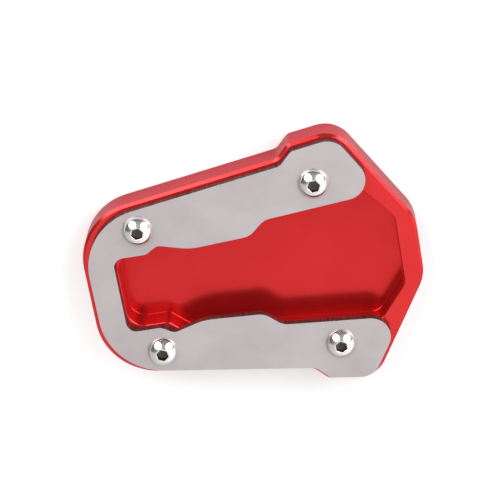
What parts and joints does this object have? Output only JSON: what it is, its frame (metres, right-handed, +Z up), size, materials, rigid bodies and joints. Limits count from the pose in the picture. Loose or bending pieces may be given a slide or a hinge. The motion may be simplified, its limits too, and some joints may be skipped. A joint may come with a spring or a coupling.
{
  "type": "kickstand foot enlarger",
  "caption": "Pocketed aluminium shoe with tapered sides and a broad nose, clamped over the foot of a motorbike's side stand by a screwed steel plate so that it stands on soft ground.",
  "frame": {"origin": "centre of the bounding box on the flat underside, which lies on the ground", "axes": "+X along the shoe from its narrow heel to its broad nose, +Z up out of the pocket, +Y to its left"},
  "size_m": [0.114, 0.09, 0.0183],
  "materials": {
    "red_anodised_aluminium": "fine blasted and anodised red, satin gloss",
    "stainless_sheet": "satin mill finish with dark laser-cut edges",
    "polished_stainless": "polished"
  },
  "bodies": {
    "root": {"foot_body": "red_anodised_aluminium", "clamp_plate": "stainless_sheet", "button_head_screws": "polished_stainless"}
  },
  "joints": []
}
